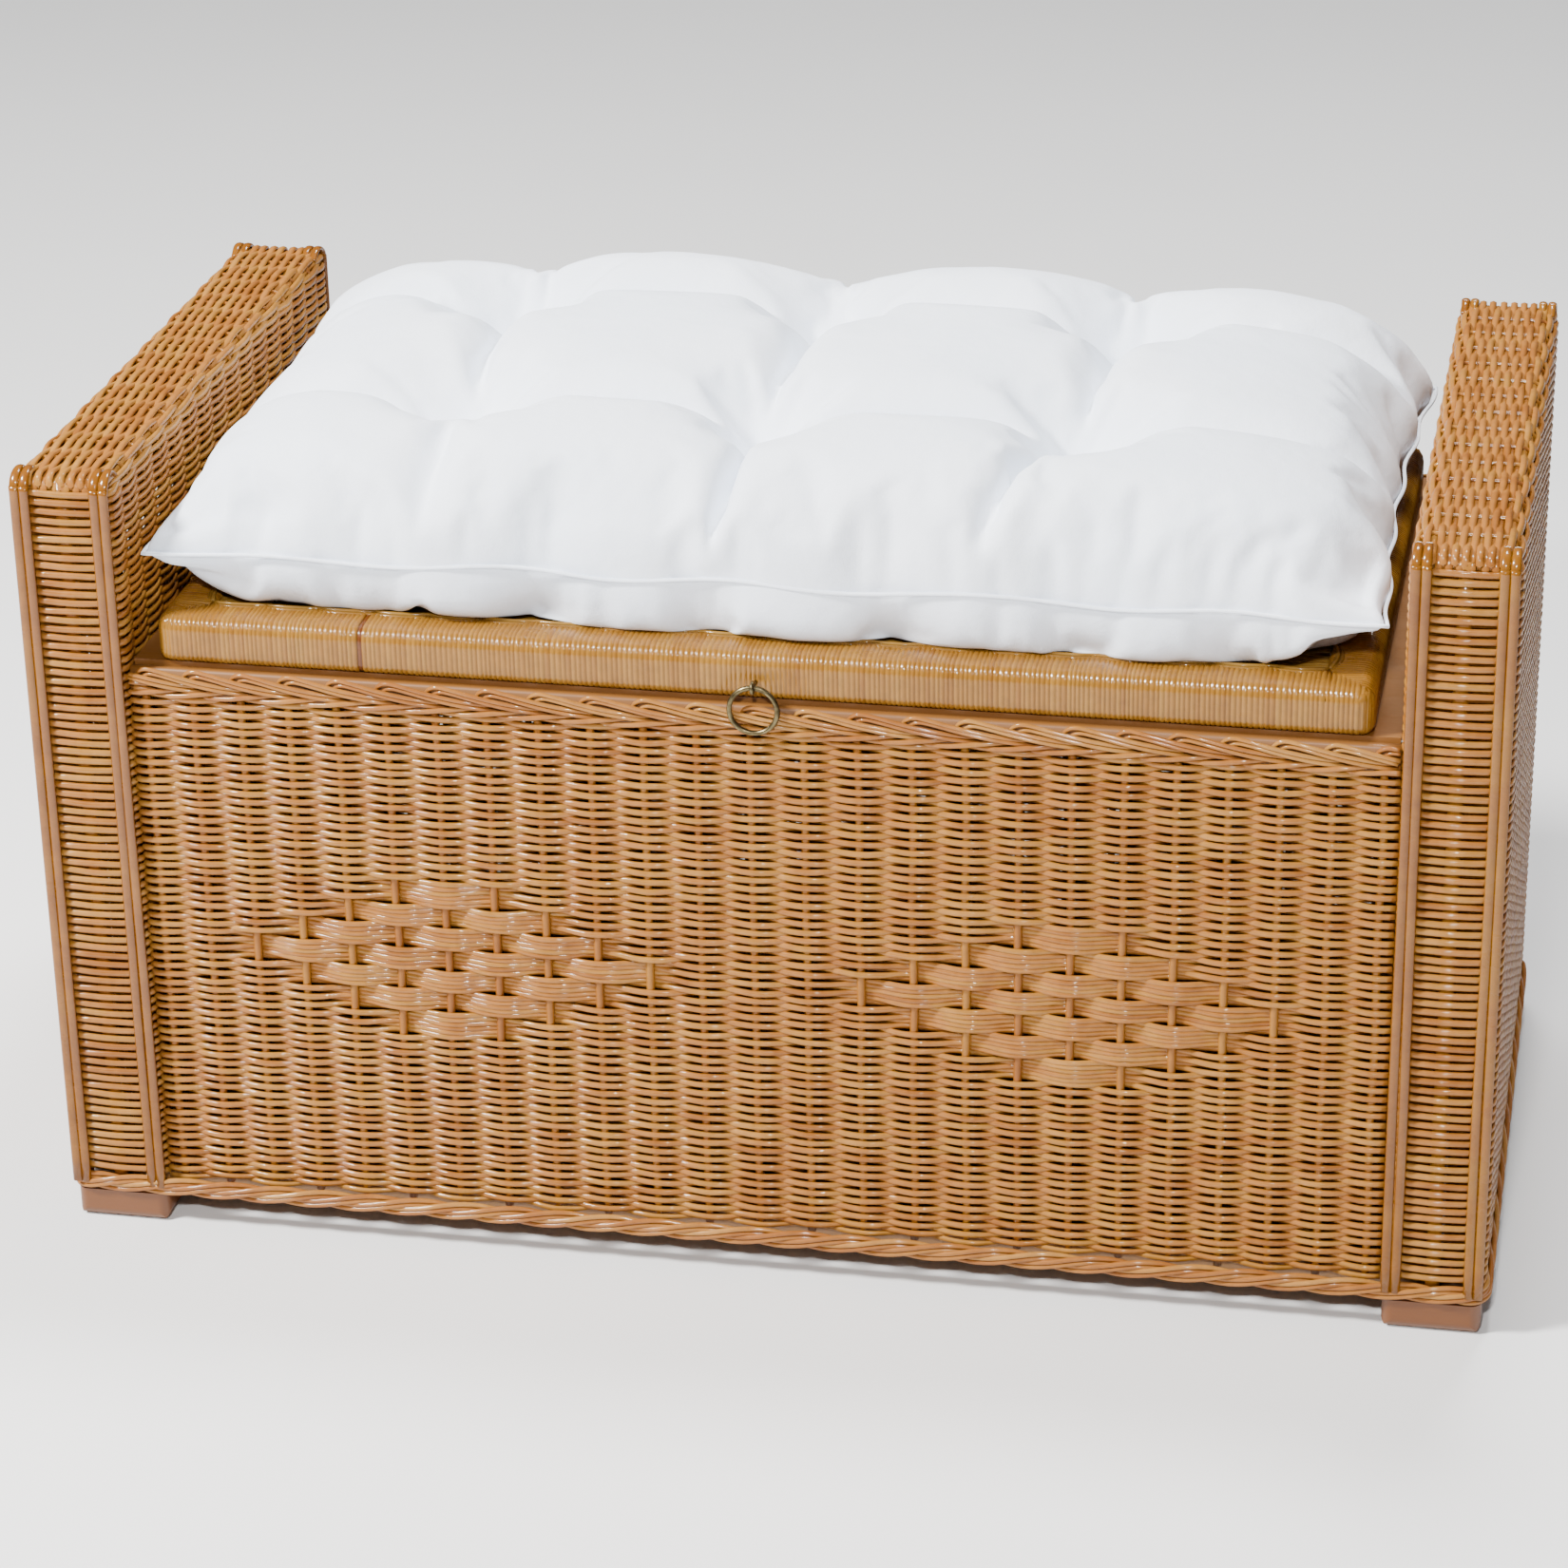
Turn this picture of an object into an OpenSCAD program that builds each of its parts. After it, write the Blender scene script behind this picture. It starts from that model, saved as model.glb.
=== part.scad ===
// Wicker storage bench: a woven chest with two raised arm towers, a hinged cane-wrapped lid
// with a ring pull, and a loose tufted seat cushion.
// Origin: centre of the footprint on the floor.  +X to the right, -Y to the front, +Z up.  Millimetres.

/* [Overall] */
// Width over the bottom border
overall_w = 900; // [800:10:1000]
// Depth over the corner bands and the bottom border
overall_d = 460; // [440:5:520]
// Height of the arm towers
arm_h = 507; // [480:1:560]
// Width of one arm tower between its woven faces
arm_w = 66; // [64:1:90]
// Height of the rim that the lid rests on
rim_h = 385; // [340:1:400]

/* [Weave] */
// Thickness of a woven panel
skin_t = 7; // [6:0.5:7]
// How far the bands and the bottom border stand proud of the arm weave
proud = 3; // [2:0.5:3]
// How far the front and back panels lie behind the arm faces
panel_inset = 5; // [4:0.5:6]
// Number of gaps between the upright stakes of a long panel
panel_gaps = 24; // [20:1:30]
// Distance of the outermost stakes from the ends of a long panel
panel_edge = 8; // [5:0.5:10]
// Number of gaps between the upright stakes of an arm side
arm_gaps = 15; // [10:1:16]
// Diameter of a stake
stake_d = 5; // [3:0.5:5]
// Radius of the rounded top corners of the arm towers
arm_round = 12; // [8:1:14]

/* [Borders and bands] */
// Height of the plaited bottom border
border_h = 14; // [10:1:16]
// Thickness of the bottom border
border_t = 8; // [6:1:8]
// Height and thickness of the plaited rim border
rim_border = 12; // [10:1:12]
// Width of one cane in a corner band
cane_w = 7.5; // [6:0.5:8]

/* [Frame] */
// Diameter of the rattan poles
pole_d = 20; // [16:1:20]
// Thickness of the base board
board_t = 6; // [4:1:10]
// Width of the flat rim rails
rail_w = 18; // [16:1:24]
// Thickness of the flat rim rails
rail_t = 12; // [10:1:12]

/* [Feet] */
// Height of a foot
foot_h = 20; // [15:1:40]
// Side of a foot
foot_w = 60; // [50:1:62]

/* [Lid] */
// Gap between each end of the lid and the arm tower
lid_end_gap = 15; // [8:1:20]
// Thickness of the lid
lid_t = 30; // [28:1:42]
// Width of the lid frame rails
lid_rail_w = 30; // [26:1:36]
// Length of one hinge
hinge_l = 50; // [50:1:70]
// Distance of each hinge from the middle
hinge_x = 220; // [150:5:280]

/* [Ring pull] */
// Outer diameter of the ring
ring_d = 32; // [28:1:34]
// Diameter of the ring's wire
ring_wire = 3.2; // [2.8:0.1:3.4]
// Distance of the hand-fitted pull from the middle of the lid
pull_x = 4; // [-20:1:20]

/* [Cushion] */
// Length of the cushion
cushion_l = 742; // [600:2:744]
// Depth of the cushion
cushion_d = 406; // [360:2:410]
// Thickness of the cushion
cushion_t = 100; // [60:2:110]

/* [Hidden] */
$fn = 48;
slack = 0.1;               // clearance of a stake or screw in its hole
rest_gap = 0.3;            // gap between surfaces that rest on each other and part
clear = 1;                 // overrun of cutting shapes
weave_x = overall_w / 2 - proud;
weave_y = overall_d / 2 - proud;
arm_in = weave_x - arm_w;
inner_y = weave_y - skin_t;
panel_y = weave_y - panel_inset;
border_top = foot_h + border_h;
frame_top = foot_h + pole_d;
board_gap = 0.5;
rim_crest = rim_h - 2;     // the plaited rim stops just under the rail
panel_top = rim_crest - rim_border;
rim_border_y = panel_y + 1.9;
rail_out = rim_border_y - rim_border;
rail_in = rail_out - rail_w;
pole_out = weave_x - skin_t - pole_d / 2 - 1;
pole_in = arm_in + skin_t + pole_d / 2 + 1;
pole_y = panel_y - skin_t - pole_d / 2 - board_gap;
arm_pole_z = arm_h - skin_t - pole_d / 2;
ledge_w = lid_end_gap + 9;
stake_hole_r = stake_d / 2 + slack;
arm_pitch = 2 * inner_y / arm_gaps;
panel_pitch = 2 * (arm_in - panel_edge) / panel_gaps;
crossbar_d = 16;
crossbar_x = arm_in / 3;
foot_round = 7;
foot_screw_r = 2;
foot_screw_l = 34;
foot_screw_step = 16;
frame_screw_r = 2;
frame_screw_l = 62;
frame_head_r = 4;
frame_head_t = 3;

lid_x = arm_in - lid_end_gap;
lid_front = panel_y - 5;
lid_back = 196;
lid_z = rim_h + rest_gap;
lid_top = lid_z + lid_t;
lid_round = 6;
lid_corner = 12;
weave_drop = 2;
lid_weave_t = 7;
batten_w = 20;
batten_t = 10;
batten_step = lid_x / 2;

pin_y = lid_back + 4;
pin_z = rim_h + 4;
pin_r = 1.5;
pin_running = 0.05;
knuckle_r = 3.5;
knuckles = 5;
knuckle_l = hinge_l / knuckles;
knuckle_gap = 0.2;
leaf_t = 1.5;
leaf_low_w = rail_out - pin_y;
leaf_up_h = 20;
hinge_screw_step = 17;
hinge_screw_r = 1.4;
hinge_head_r = 2.6;
hinge_screw_l = 11;
leaf_screw_y = rail_out - 4;
leaf_screw_z = pin_z + 14;

eye_wire_r = 1.2;
eye_r = 3.2;
eye_y = -lid_front - 9;
eye_z = rim_h + 12;
eye_shank_l = 26;
ring_r = (ring_d - ring_wire) / 2;

cushion_y = -7;
cushion_z = lid_top + rest_gap;
cushion_plan_r = 42;
cushion_edge_r = 34;

rattan = "#C4966A";
rattan_dark = "#B9824A";
cane = "#C89B5F";
timber = "#A9784F";
plywood = "#C8A878";
brass_tone = "#8C7F4F";
steel_tone = "#A8A8A8";
cotton = "#EEF1F4";

// ---- shared shapes ----

module box(low, high) {
    translate(low) cube(high - low);
}

module rod_x(x0, x1, y, z, r) {
    translate([x0, y, z]) rotate([0, 90, 0]) cylinder(r = r, h = x1 - x0);
}

module rod_y(y0, y1, x, z, r) {
    translate([x, y0, z]) rotate([-90, 0, 0]) cylinder(r = r, h = y1 - y0);
}

module rod_z(z0, z1, x, y, r) {
    translate([x, y, z0]) cylinder(r = r, h = z1 - z0);
}

// Rectangle with rounded corners, from [0, 0] to [w, h]
module round_rect(w, h, r) {
    translate([r, 0]) square([w - 2 * r, h]);
    translate([0, r]) square([w, h - 2 * r]);
    for (x = [r, w - r], y = [r, h - r])
        translate([x, y]) circle(r = r);
}

// Upright rectangle whose two top corners alone are rounded
module arch_profile(w, h, r) {
    square([w, h - r]);
    translate([r, 0]) square([w - 2 * r, h]);
    for (x = [r, w - r])
        translate([x, h - r]) circle(r = r);
}

// Bar along X with a rounded section
module bar_x(low, high, r) {
    size = high - low;
    translate(low) rotate([90, 0, 90]) linear_extrude(size[0]) round_rect(size[1], size[2], r);
}

// Bar along Y with a rounded section
module bar_y(low, high, r) {
    size = high - low;
    translate([low[0], high[1], low[2]]) rotate([90, 0, 0])
        linear_extrude(size[1]) round_rect(size[0], size[2], r);
}

// Block with rounded upright corners
module bar_z(low, high, r) {
    size = high - low;
    translate(low) linear_extrude(size[2]) round_rect(size[0], size[1], r);
}

module to_left() {
    mirror([1, 0, 0]) children();
}

module to_back() {
    mirror([0, 1, 0]) children();
}

// ---- long panels between the arm towers ----

function panel_stake_x(i) = -arm_in + panel_edge + i * panel_pitch;

module panel_stakes_shape(r, overrun) {
    for (i = [0 : panel_gaps])
        rod_z(border_top - overrun, panel_top + overrun, panel_stake_x(i), -panel_y + skin_t / 2, r);
}

module long_panel() {
    color(rattan) difference() {
        box([-arm_in, -panel_y, border_top], [arm_in, -panel_y + skin_t, panel_top]);
        panel_stakes_shape(stake_hole_r, clear);
    }
}

module long_stakes() {
    color(rattan_dark) panel_stakes_shape(stake_d / 2, 0);
}

module rim_border_bar() {
    color(rattan) bar_x([-arm_in, -rim_border_y, panel_top], [arm_in, -rail_out, rim_crest], 4);
}

module bottom_border_long() {
    color(rattan_dark)
        bar_x([-overall_w / 2, -overall_d / 2, foot_h], [overall_w / 2, -overall_d / 2 + border_t, border_top], 3);
}

module bottom_border_side() {
    end = overall_d / 2 - border_t;
    color(rattan_dark) bar_y([overall_w / 2 - border_t, -end, foot_h], [overall_w / 2, end, border_top], 3);
}

// ---- arm towers, drawn on the right side ----

function arm_stake_y(i) = -inner_y + i * arm_pitch;

module arm_stakes_shape(r, overrun) {
    for (i = [1 : arm_gaps - 1]) {
        rod_z(border_top - overrun, arm_h - 2 * arm_round, weave_x - skin_t / 2, arm_stake_y(i), r);
        rod_z(frame_top + board_gap - overrun, arm_h - 2 * arm_round, arm_in + skin_t / 2, arm_stake_y(i), r);
    }
}

module arm_cover() {
    inner_round = arm_round - skin_t;
    inner_w = arm_w - 2 * skin_t;
    color(rattan) difference() {
        translate([arm_in, inner_y, border_top]) rotate([90, 0, 0])
            linear_extrude(2 * inner_y) arch_profile(arm_w, arm_h - border_top, arm_round);
        translate([arm_in + skin_t, inner_y + clear, border_top - clear]) rotate([90, 0, 0])
            linear_extrude(2 * (inner_y + clear))
                arch_profile(inner_w, arm_h - skin_t - border_top + clear, inner_round);
        box([arm_in - clear, -inner_y - clear, border_top - clear],
            [arm_in + skin_t + clear, inner_y + clear, frame_top + board_gap]);
        arm_stakes_shape(stake_hole_r, clear);
        frame_screws_right(slack);
    }
}

module arm_stakes() {
    color(rattan_dark) arm_stakes_shape(stake_d / 2, 0);
}

module arm_face_stake(r, overrun) {
    rod_z(border_top - overrun, arm_h - 2 * arm_round, arm_in + arm_w / 2, -weave_y + skin_t / 2, r);
}

module arm_face() {
    color(rattan) difference() {
        translate([arm_in, -inner_y, border_top]) rotate([90, 0, 0])
            linear_extrude(skin_t) arch_profile(arm_w, arm_h - border_top, arm_round);
        arm_face_stake(stake_hole_r, clear);
    }
}

module face_stakes() {
    color(rattan_dark) {
        arm_face_stake(stake_d / 2, 0);
        to_left() arm_face_stake(stake_d / 2, 0);
        to_back() arm_face_stake(stake_d / 2, 0);
        to_back() to_left() arm_face_stake(stake_d / 2, 0);
    }
}

// One split cane, flat on the arm face and round outside
module split_cane(x) {
    half = cane_w / 2 - slack;
    r = (proud * proud + half * half) / (2 * proud);
    translate([x, -weave_y, border_top]) linear_extrude(arm_h - arm_round - border_top)
        intersection() {
            translate([0, r - proud]) circle(r = r);
            translate([-half, -proud]) square([2 * half, proud]);
        }
}

module bands() {
    color(rattan_dark)
        for (edge = [arm_in, weave_x - 2 * cane_w], n = [0, 1])
            split_cane(edge + (n + 0.5) * cane_w);
}

module posts() {
    color(rattan_dark) difference() {
        for (x = [pole_in, pole_out], y = [-pole_y, pole_y])
            rod_z(foot_h, arm_pole_z - pole_d / 2, x, y, pole_d / 2);
        frame_screws_right(slack);
        for (y = [-1, 1])
            foot_screws_at(pole_in, pole_out, y * pole_y, slack);
    }
}

module arm_rails() {
    color(rattan_dark)
        for (x = [pole_in, pole_out])
            rod_y(-inner_y, inner_y, x, arm_pole_z, pole_d / 2);
}

module bottom_rails() {
    end = pole_y - pole_d / 2;
    color(rattan_dark)
        for (x = [pole_in, pole_out])
            rod_y(-end, end, x, foot_h + pole_d / 2, pole_d / 2);
}

// ---- base and rim of the chest ----

module bottom_rail() {
    end = pole_in - pole_d / 2;
    color(rattan_dark) rod_x(-end, end, -pole_y, foot_h + pole_d / 2, pole_d / 2);
}

module base_crossbars() {
    end = pole_y - pole_d / 2;
    color(rattan_dark)
        for (x = [-crossbar_x, crossbar_x])
            rod_y(-end, end, x, frame_top - crossbar_d / 2, crossbar_d / 2);
}

module base_board() {
    half = panel_y - skin_t - board_gap;
    color(plywood)
        box([-arm_in + board_gap, -half, frame_top], [arm_in - board_gap, half, frame_top + board_t]);
}

module top_rail() {
    color(plywood) difference() {
        box([-arm_in, -rail_out, rim_h - rail_t], [arm_in, -rail_in, rim_h]);
        frame_screws_right(slack);
        to_left() frame_screws_right(slack);
    }
}

module back_rail() {
    color(plywood) difference() {
        to_back() top_rail();
        lower_hinge_screws_shape(slack);
    }
}

module ledge() {
    color(plywood) box([arm_in - ledge_w, -rail_in, rim_h - rail_t], [arm_in, rail_in, rim_h]);
}

// Screws that run from the inner posts through the cover into the ends of the rim rails
module frame_screws_right(gap) {
    head_x = pole_in + pole_d / 2;
    for (y = [-1, 1]) {
        rod_x(head_x - frame_screw_l, head_x + gap, y * (rail_in + rail_w / 2), rim_h - rail_t / 2,
            frame_screw_r + gap);
        if (gap == 0)
            rod_x(head_x, head_x + frame_head_t, y * (rail_in + rail_w / 2), rim_h - rail_t / 2,
                frame_head_r);
    }
}

module frame_screws() {
    color(steel_tone) {
        frame_screws_right(0);
        to_left() frame_screws_right(0);
    }
}

// ---- feet ----

module foot_screws_at(x0, x1, y, gap) {
    for (x = [x0, x1])
        rod_z(foot_h - foot_screw_step - gap, foot_h - foot_screw_step + foot_screw_l + gap, x, y,
            foot_screw_r + gap);
}

module foot_screw_recess(x0, x1, y) {
    for (x = [x0, x1])
        rod_z(-clear, foot_h - foot_screw_step, x, y, 2 * foot_screw_r);
}

module foot_block() {
    low = [arm_in + (arm_w - foot_w) / 2, -weave_y + 1, 0];
    high = [low[0] + foot_w, low[1] + foot_w, foot_h];
    color(timber) difference() {
        intersection() {
            bar_x(low, high + [0, 0, foot_round], foot_round);
            bar_y(low, high + [0, 0, foot_round], foot_round);
            bar_z(low, high, foot_round);
        }
        foot_screws_at(pole_in, pole_out, -pole_y, slack);
        foot_screw_recess(pole_in, pole_out, -pole_y);
    }
}

module foot_screws() {
    color(steel_tone)
        for (side = [-1, 1], end = [-1, 1])
            foot_screws_at(side * pole_in, side * pole_out, end * pole_y, 0);
}

// ---- hinges ----

module knuckle(n, x, bore_r) {
    difference() {
        rod_x(x - hinge_l / 2 + n * knuckle_l + knuckle_gap / 2,
            x - hinge_l / 2 + (n + 1) * knuckle_l - knuckle_gap / 2, pin_y, pin_z, knuckle_r);
        rod_x(x - hinge_l, x + hinge_l, pin_y, pin_z, bore_r);
    }
}

// Room for one knuckle of the other leaf
module knuckle_notch(n, x) {
    reach = knuckle_r + 0.5;
    box([x - hinge_l / 2 + n * knuckle_l - knuckle_gap / 2, pin_y - reach, pin_z - reach],
        [x - hinge_l / 2 + (n + 1) * knuckle_l + knuckle_gap / 2, pin_y + reach, pin_z + reach]);
}

module lower_leaf(x) {
    for (n = [0, 2, 4])
        knuckle(n, x, pin_r + 0.01);
    difference() {
        box([x - hinge_l / 2, pin_y, rim_h], [x + hinge_l / 2, pin_y + leaf_low_w, rim_h + leaf_t]);
        for (n = [1, 3])
            knuckle_notch(n, x);
        rod_x(x - hinge_l, x + hinge_l, pin_y, pin_z, pin_r + 0.01);
        lower_hinge_screws_shape(slack);
    }
}

module upper_leaf(x) {
    for (n = [1, 3])
        knuckle(n, x, pin_r + pin_running);
    difference() {
        box([x - hinge_l / 2, lid_back, pin_z], [x + hinge_l / 2, lid_back + leaf_t, pin_z + leaf_up_h]);
        for (n = [0, 2, 4])
            knuckle_notch(n, x);
        upper_hinge_screws_shape(slack);
    }
}

module lower_hinge_leaves() {
    color(brass_tone)
        for (x = [-hinge_x, hinge_x])
            lower_leaf(x);
}

module upper_hinge_leaves() {
    color(brass_tone)
        for (x = [-hinge_x, hinge_x])
            upper_leaf(x);
}

module hinge_pins() {
    color(steel_tone)
        for (x = [-hinge_x, hinge_x])
            rod_x(x - hinge_l / 2, x + hinge_l / 2, pin_y, pin_z, pin_r);
}

module lower_hinge_screws_shape(gap) {
    head_z = rim_h + leaf_t;
    for (x = [-hinge_x, hinge_x], n = [-1, 0, 1]) {
        rod_z(rim_h, head_z + (gap > 0 ? clear : 0), x + n * hinge_screw_step, leaf_screw_y,
            hinge_head_r + gap);
        rod_z(head_z - hinge_screw_l - gap, rim_h, x + n * hinge_screw_step, leaf_screw_y,
            hinge_screw_r + gap);
    }
}

module lower_hinge_screws() {
    color(brass_tone) lower_hinge_screws_shape(0);
}

module upper_hinge_screws_shape(gap) {
    head_y = lid_back + leaf_t;
    for (x = [-hinge_x, hinge_x], n = [-1, 0, 1]) {
        rod_y(lid_back, head_y + (gap > 0 ? clear : 0), x + n * hinge_screw_step, leaf_screw_z,
            hinge_head_r + gap);
        rod_y(head_y - hinge_screw_l - gap, lid_back, x + n * hinge_screw_step, leaf_screw_z,
            hinge_screw_r + gap);
    }
}

module upper_hinge_screws() {
    color(brass_tone) upper_hinge_screws_shape(0);
}

// ---- lid ----

// Plan and edge rounding that the four frame rails share
module lid_block() {
    low = [-lid_x, -lid_front, lid_z];
    high = [lid_x, lid_back, lid_top];
    intersection() {
        bar_x(low, high, lid_round);
        bar_y(low, high, lid_round);
        bar_z(low, high, lid_corner);
    }
}

module lid_front_rail() {
    color(cane) difference() {
        intersection() {
            lid_block();
            box([-lid_x, -lid_front, lid_z], [lid_x, -lid_front + lid_rail_w, lid_top]);
        }
        eye_shank(slack);
    }
}

module lid_rear_rail() {
    color(cane) difference() {
        intersection() {
            lid_block();
            box([-lid_x, lid_back - lid_rail_w, lid_z], [lid_x, lid_back, lid_top]);
        }
        upper_hinge_screws_shape(slack);
    }
}

module lid_side_rail() {
    color(cane) intersection() {
        lid_block();
        box([lid_x - lid_rail_w, -lid_front + lid_rail_w, lid_z], [lid_x, lid_back - lid_rail_w, lid_top]);
    }
}

module lid_battens() {
    top = lid_top - weave_drop - lid_weave_t;
    color(timber)
        for (x = [-batten_step, 0, batten_step])
            box([x - batten_w / 2, -lid_front + lid_rail_w, top - batten_t],
                [x + batten_w / 2, lid_back - lid_rail_w, top]);
}

module lid_weave() {
    top = lid_top - weave_drop;
    color(rattan) box([-lid_x + lid_rail_w, -lid_front + lid_rail_w, top - lid_weave_t],
        [lid_x - lid_rail_w, lid_back - lid_rail_w, top]);
}

// ---- ring pull ----

module eye_shank(gap) {
    start = eye_y + eye_r;
    rod_y(start, start + eye_shank_l + gap, pull_x, eye_z, eye_wire_r + gap);
}

module screw_eye() {
    color(brass_tone) {
        translate([pull_x, eye_y, eye_z]) rotate([0, 90, 0])
            rotate_extrude() translate([eye_r, 0]) circle(r = eye_wire_r);
        eye_shank(0);
    }
}

module pull_ring() {
    color(brass_tone) translate([pull_x, eye_y, eye_z - ring_r]) rotate([90, 0, 0])
        rotate_extrude() translate([ring_r, 0]) circle(r = ring_wire / 2);
}

// ---- cushion ----

module cushion() {
    low = [-cushion_l / 2, cushion_y - cushion_d / 2, cushion_z];
    high = [cushion_l / 2, cushion_y + cushion_d / 2, cushion_z + cushion_t];
    color(cotton) intersection() {
        bar_x(low, high, cushion_edge_r);
        bar_y(low, high, cushion_edge_r);
        bar_z(low, high, cushion_plan_r);
    }
}

// ---- nodes ----

long_panel();  // front_panel
to_back() long_panel();  // back_panel
long_stakes();  // front_stakes
to_back() long_stakes();  // back_stakes
rim_border_bar();  // front_rim_border
to_back() rim_border_bar();  // back_rim_border
bottom_border_long();  // bottom_border_front
to_back() bottom_border_long();  // bottom_border_back
to_left() bottom_border_side();  // bottom_border_left
bottom_border_side();  // bottom_border_right
to_left() arm_cover();  // left_arm_cover
arm_cover();  // right_arm_cover
to_left() arm_stakes();  // left_arm_stakes
arm_stakes();  // right_arm_stakes
to_left() arm_face();  // left_arm_front_face
to_back() to_left() arm_face();  // left_arm_rear_face
arm_face();  // right_arm_front_face
to_back() arm_face();  // right_arm_rear_face
face_stakes();  // arm_face_stakes
to_left() bands();  // left_front_bands
to_back() to_left() bands();  // left_rear_bands
bands();  // right_front_bands
to_back() bands();  // right_rear_bands
to_left() posts();  // left_posts
posts();  // right_posts
to_left() arm_rails();  // left_arm_rails
arm_rails();  // right_arm_rails
to_left() bottom_rails();  // left_bottom_rails
bottom_rails();  // right_bottom_rails
bottom_rail();  // front_bottom_rail
to_back() bottom_rail();  // back_bottom_rail
base_crossbars();
base_board();
top_rail();  // front_top_rail
back_rail();  // back_top_rail
to_left() ledge();  // left_ledge
ledge();  // right_ledge
frame_screws();
to_left() foot_block();  // front_left_foot
foot_block();  // front_right_foot
to_back() to_left() foot_block();  // rear_left_foot
to_back() foot_block();  // rear_right_foot
foot_screws();
lower_hinge_leaves();
hinge_pins();
lower_hinge_screws();
lid_front_rail();
lid_rear_rail();
to_left() lid_side_rail();  // lid_left_rail
lid_side_rail();  // lid_right_rail
lid_battens();
lid_weave();
upper_hinge_leaves();
upper_hinge_screws();
screw_eye();
pull_ring();
cushion();
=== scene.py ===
"""Looks of the wicker storage bench: woven cane strand by strand, wrapped lid, brass ring, tufted cushion.

Lengths in this script are millimetres in the CAD's frame; MM turns them into metres when a mesh is made.
"""

import math

import bpy
import numpy as np
from mathutils import Matrix, Vector


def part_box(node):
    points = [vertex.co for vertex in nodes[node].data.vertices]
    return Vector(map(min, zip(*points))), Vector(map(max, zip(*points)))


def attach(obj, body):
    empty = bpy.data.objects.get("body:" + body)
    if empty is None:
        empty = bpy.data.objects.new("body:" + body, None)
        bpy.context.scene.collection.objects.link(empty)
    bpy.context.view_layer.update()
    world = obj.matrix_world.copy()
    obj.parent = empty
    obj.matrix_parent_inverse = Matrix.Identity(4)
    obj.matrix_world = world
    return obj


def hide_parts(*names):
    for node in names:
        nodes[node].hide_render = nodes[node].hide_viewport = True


MM = 0.001
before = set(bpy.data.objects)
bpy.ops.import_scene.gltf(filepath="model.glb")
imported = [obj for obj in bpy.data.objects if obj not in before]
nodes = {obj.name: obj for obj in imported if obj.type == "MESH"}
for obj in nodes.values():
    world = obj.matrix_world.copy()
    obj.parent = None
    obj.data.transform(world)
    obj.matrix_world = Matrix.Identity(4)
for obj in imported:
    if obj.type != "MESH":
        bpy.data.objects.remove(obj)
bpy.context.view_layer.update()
chance = np.random.default_rng(11)


# ---- camera ----

def make_camera():
    """A long lens a little to the right of the middle and well above the seat."""
    azimuth, elevation, roll = (math.radians(a) for a in (11.71, 24.58, -1.11))
    place = (0.5164, -2.6127, 1.4515)
    lens, sensor = 104.26, 36.0
    forward = Vector((-math.sin(azimuth) * math.cos(elevation),
                      math.cos(azimuth) * math.cos(elevation),
                      -math.sin(elevation)))
    level = Vector((math.cos(azimuth), math.sin(azimuth), 0))
    above = level.cross(forward)
    right = math.cos(roll) * level + math.sin(roll) * above
    up = math.cos(roll) * above - math.sin(roll) * level
    data = bpy.data.cameras.new("camera")
    data.lens = lens
    data.sensor_width = sensor
    camera = bpy.data.objects.new("camera", data)
    turn = Matrix((right, up, -forward)).transposed().to_4x4()
    camera.matrix_world = Matrix.Translation(place) @ turn
    bpy.context.scene.collection.objects.link(camera)
    bpy.context.scene.camera = camera


make_camera()


# ---- places that come from the frame, in millimetres ----

def box_mm(node):
    """The low and the high corner of a CAD node's box."""
    low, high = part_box(node)
    return np.array(low) / MM, np.array(high) / MM


panel_low, panel_high = box_mm("front_panel")
stakes_low, stakes_high = box_mm("front_stakes")
cover_low, cover_high = box_mm("right_arm_cover")
arm_face_low, _ = box_mm("right_arm_front_face")
rim_low, rim_high = box_mm("front_rim_border")
border_low, border_high = box_mm("bottom_border_front")
lid_front_low, lid_front_high = box_mm("lid_front_rail")
_, lid_rear_high = box_mm("lid_rear_rail")
lid_weave_low, lid_weave_high = box_mm("lid_weave")
cushion_low, cushion_high = box_mm("cushion")

# Half a strand's thickness and half its height. Rows overlap a little, which closes the weave.
STRAND_DEPTH = 1.45
STRAND_HIGH = 2.2
ROW = 2.87
STAKE_R = 2.6
# Gaps between the upright stakes of a long panel and of an arm.
PANEL_GAPS = 24
ARM_GAPS = 15
# How high the middle of the two diamonds is, and where one strip of the lid's front wrapping is darker.
DIAMOND_Z = 199.0
DARK_STRIP_X = -237.0


# ---- mesh tools ----

def ripple(waves):
    """A smooth random wander over two coordinates, from (size, length along a, length along b) waves."""
    parts = [(size, 2 * math.pi / la, 2 * math.pi / lb, *chance.uniform(0, 2 * math.pi, 2))
             for size, la, lb in waves]

    def wander(a, b):
        return sum(size * np.sin(ka * a + pa) * np.sin(kb * b + pb) for size, ka, kb, pa, pb in parts)

    return wander


def unit(v):
    """The same directions with length one."""
    return v / np.maximum(np.linalg.norm(v, axis=-1, keepdims=True), 1e-9)


def end_faces(index):
    """Faces that close both ends of tubes, from their point numbers (strands, length, sides)."""
    faces = []
    for n in range(index.shape[2] // 2 - 1):
        corners = [0, 2 * n + 1, 2 * n + 2, 2 * n + 3]
        faces.append(index[:, 0][:, corners])
        faces.append(index[:, -1][:, corners[::-1]])
    return faces


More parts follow.
